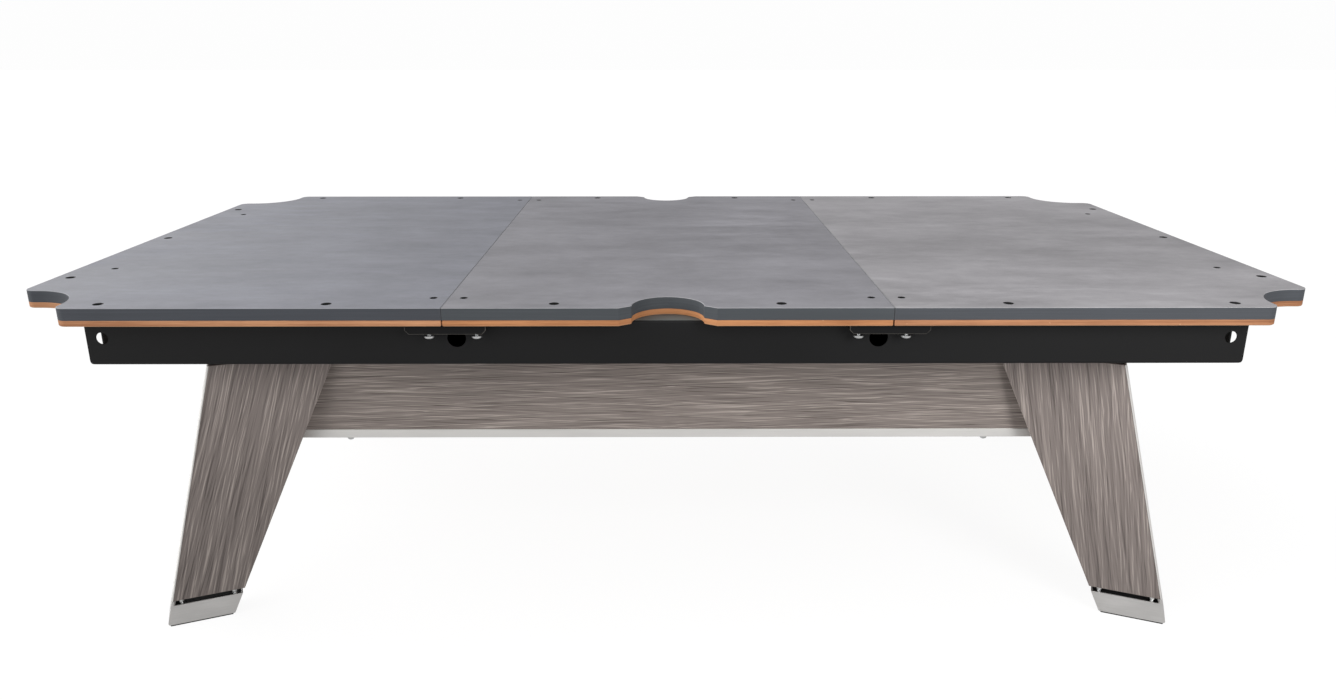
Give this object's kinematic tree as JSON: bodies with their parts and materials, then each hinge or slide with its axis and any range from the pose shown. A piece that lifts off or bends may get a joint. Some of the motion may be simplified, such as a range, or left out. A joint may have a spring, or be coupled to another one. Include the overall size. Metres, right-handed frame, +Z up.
{
  "type": "pool table",
  "caption": "Nine-foot pool table at the bare-slate stage: notched slate bed on a steel frame, splayed slab legs with levelling shoes, and beams between the legs.",
  "frame": {"origin": "on the floor under the centre of the bed", "axes": "+X along the table's length to the right, +Y across to the far side, +Z up"},
  "size_m": [2.718, 1.448, 0.762],
  "materials": {
    "slate": "honed slate, matt, with dusty grinding marks",
    "backing_wood": "sawn and sealed backing board, orange brown",
    "black_steel": "satin black powder coat",
    "leg_laminate": "grey-brown driftwood laminate, fine wavy grain, matt",
    "brushed_metal": "brushed stainless",
    "zinc_steel": "bright zinc plate",
    "pad_rubber": "matt black",
    "tie_wood": "bare plywood"
  },
  "bodies": {
    "table": {"slate_left": "slate", "slate_centre": "slate", "slate_right": "slate", "backing_left": "backing_wood", "backing_centre": "backing_wood", "backing_right": "backing_wood", "frame_rail_near": "black_steel", "frame_rail_far": "black_steel", "frame_end_left": "black_steel", "frame_end_right": "black_steel", "seam_member_left": "black_steel", "seam_member_right": "black_steel", "leg_bearer_left": "black_steel", "leg_bearer_right": "black_steel", "seam_bracket_near_left": "black_steel", "seam_bracket_near_right": "black_steel", "seam_bracket_far_left": "black_steel", "seam_bracket_far_right": "black_steel", "leg_near_left": "leg_laminate", "leg_trim_near_left": "brushed_metal", "leg_block_near_left": "black_steel", "leg_near_right": "leg_laminate", "leg_trim_near_right": "brushed_metal", "leg_block_near_right": "black_steel", "leg_far_left": "leg_laminate", "leg_trim_far_left": "brushed_metal", "leg_block_far_left": "black_steel", "leg_far_right": "leg_laminate", "leg_trim_far_right": "brushed_metal", "leg_block_far_right": "black_steel", "beam_near": "leg_laminate", "beam_trim_near": "brushed_metal", "beam_far": "leg_laminate", "beam_trim_far": "brushed_metal", "tie_board_left": "tie_wood", "tie_board_right": "tie_wood"},
    "shoe_near_left": {"shoe_near_left": "brushed_metal", "foot_pad_near_left": "pad_rubber"},
    "levelling_stud_outer_near_left": {"levelling_stud_outer_near_left": "zinc_steel"},
    "levelling_stud_inner_near_left": {"levelling_stud_inner_near_left": "zinc_steel"},
    "shoe_near_right": {"shoe_near_right": "brushed_metal", "foot_pad_near_right": "pad_rubber"},
    "levelling_stud_outer_near_right": {"levelling_stud_outer_near_right": "zinc_steel"},
    "levelling_stud_inner_near_right": {"levelling_stud_inner_near_right": "zinc_steel"},
    "shoe_far_left": {"shoe_far_left": "brushed_metal", "foot_pad_far_left": "pad_rubber"},
    "levelling_stud_outer_far_left": {"levelling_stud_outer_far_left": "zinc_steel"},
    "levelling_stud_inner_far_left": {"levelling_stud_inner_far_left": "zinc_steel"},
    "shoe_far_right": {"shoe_far_right": "brushed_metal", "foot_pad_far_right": "pad_rubber"},
    "levelling_stud_outer_far_right": {"levelling_stud_outer_far_right": "zinc_steel"},
    "levelling_stud_inner_far_right": {"levelling_stud_inner_far_right": "zinc_steel"},
    "jack_bolt_near_left_inner": {"jack_bolt_near_left_inner": "zinc_steel"},
    "jack_bolt_near_left_outer": {"jack_bolt_near_left_outer": "zinc_steel"},
    "jack_bolt_near_right_inner": {"jack_bolt_near_right_inner": "zinc_steel"},
    "jack_bolt_near_right_outer": {"jack_bolt_near_right_outer": "zinc_steel"},
    "jack_bolt_far_left_inner": {"jack_bolt_far_left_inner": "zinc_steel"},
    "jack_bolt_far_left_outer": {"jack_bolt_far_left_outer": "zinc_steel"},
    "jack_bolt_far_right_inner": {"jack_bolt_far_right_inner": "zinc_steel"},
    "jack_bolt_far_right_outer": {"jack_bolt_far_right_outer": "zinc_steel"}
  },
  "joints": [
    {"name": "shoe_height_near_left", "type": "slide", "parent": "table", "child": "shoe_near_left", "axis": [0, 0, -1], "range_m": [0, 0.015]},
    {"name": "stud_turn_outer_near_left", "type": "hinge", "parent": "shoe_near_left", "child": "levelling_stud_outer_near_left", "pos_m": [-1.10008, -0.6352, 0.05], "axis": [0, 0, 1], "range_deg": [0, 4320]},
    {"name": "stud_turn_inner_near_left", "type": "hinge", "parent": "shoe_near_left", "child": "levelling_stud_inner_near_left", "pos_m": [-0.9979, -0.59183, 0.05], "axis": [0, 0, 1], "range_deg": [0, 4320]},
    {"name": "shoe_height_near_right", "type": "slide", "parent": "table", "child": "shoe_near_right", "axis": [0, 0, -1], "range_m": [0, 0.015]},
    {"name": "stud_turn_outer_near_right", "type": "hinge", "parent": "shoe_near_right", "child": "levelling_stud_outer_near_right", "pos_m": [1.10008, -0.6352, 0.05], "axis": [0, 0, 1], "range_deg": [0, 4320]},
    {"name": "stud_turn_inner_near_right", "type": "hinge", "parent": "shoe_near_right", "child": "levelling_stud_inner_near_right", "pos_m": [0.9979, -0.59183, 0.05], "axis": [0, 0, 1], "range_deg": [0, 4320]},
    {"name": "shoe_height_far_left", "type": "slide", "parent": "table", "child": "shoe_far_left", "axis": [0, 0, -1], "range_m": [0, 0.015]},
    {"name": "stud_turn_outer_far_left", "type": "hinge", "parent": "shoe_far_left", "child": "levelling_stud_outer_far_left", "pos_m": [-1.10008, 0.6352, 0.05], "axis": [0, 0, 1], "range_deg": [0, 4320]},
    {"name": "stud_turn_inner_far_left", "type": "hinge", "parent": "shoe_far_left", "child": "levelling_stud_inner_far_left", "pos_m": [-0.9979, 0.59183, 0.05], "axis": [0, 0, 1], "range_deg": [0, 4320]},
    {"name": "shoe_height_far_right", "type": "slide", "parent": "table", "child": "shoe_far_right", "axis": [0, 0, -1], "range_m": [0, 0.015]},
    {"name": "stud_turn_outer_far_right", "type": "hinge", "parent": "shoe_far_right", "child": "levelling_stud_outer_far_right", "pos_m": [1.10008, 0.6352, 0.05], "axis": [0, 0, 1], "range_deg": [0, 4320]},
    {"name": "stud_turn_inner_far_right", "type": "hinge", "parent": "shoe_far_right", "child": "levelling_stud_inner_far_right", "pos_m": [0.9979, 0.59183, 0.05], "axis": [0, 0, 1], "range_deg": [0, 4320]},
    {"name": "jack_turn_near_left_inner", "type": "hinge", "parent": "table", "child": "jack_bolt_near_left_inner", "pos_m": [-0.384, -0.699, 0.69], "axis": [0, 0, 1], "range_deg": [-1440, 0]},
    {"name": "jack_turn_near_left_outer", "type": "hinge", "parent": "table", "child": "jack_bolt_near_left_outer", "pos_m": [-0.4796, -0.699, 0.69], "axis": [0, 0, 1], "range_deg": [-1440, 0]},
    {"name": "jack_turn_near_right_inner", "type": "hinge", "parent": "table", "child": "jack_bolt_near_right_inner", "pos_m": [0.384, -0.699, 0.69], "axis": [0, 0, 1], "range_deg": [-1440, 0]},
    {"name": "jack_turn_near_right_outer", "type": "hinge", "parent": "table", "child": "jack_bolt_near_right_outer", "pos_m": [0.4796, -0.699, 0.69], "axis": [0, 0, 1], "range_deg": [-1440, 0]},
    {"name": "jack_turn_far_left_inner", "type": "hinge", "parent": "table", "child": "jack_bolt_far_left_inner", "pos_m": [-0.384, 0.699, 0.69], "axis": [0, 0, 1], "range_deg": [-1440, 0]},
    {"name": "jack_turn_far_left_outer", "type": "hinge", "parent": "table", "child": "jack_bolt_far_left_outer", "pos_m": [-0.4796, 0.699, 0.69], "axis": [0, 0, 1], "range_deg": [-1440, 0]},
    {"name": "jack_turn_far_right_inner", "type": "hinge", "parent": "table", "child": "jack_bolt_far_right_inner", "pos_m": [0.384, 0.699, 0.69], "axis": [0, 0, 1], "range_deg": [-1440, 0]},
    {"name": "jack_turn_far_right_outer", "type": "hinge", "parent": "table", "child": "jack_bolt_far_right_outer", "pos_m": [0.4796, 0.699, 0.69], "axis": [0, 0, 1], "range_deg": [-1440, 0]}
  ],
  "couplings": [
    {"joint": "stud_turn_outer_near_left", "follows": "shoe_height_near_left", "rad_per_m": 5026.5},
    {"joint": "stud_turn_inner_near_left", "follows": "shoe_height_near_left", "rad_per_m": 5026.5},
    {"joint": "stud_turn_outer_near_right", "follows": "shoe_height_near_right", "rad_per_m": 5026.5},
    {"joint": "stud_turn_inner_near_right", "follows": "shoe_height_near_right", "rad_per_m": 5026.5},
    {"joint": "stud_turn_outer_far_left", "follows": "shoe_height_far_left", "rad_per_m": 5026.5},
    {"joint": "stud_turn_inner_far_left", "follows": "shoe_height_far_left", "rad_per_m": 5026.5},
    {"joint": "stud_turn_outer_far_right", "follows": "shoe_height_far_right", "rad_per_m": 5026.5},
    {"joint": "stud_turn_inner_far_right", "follows": "shoe_height_far_right", "rad_per_m": 5026.5}
  ]
}
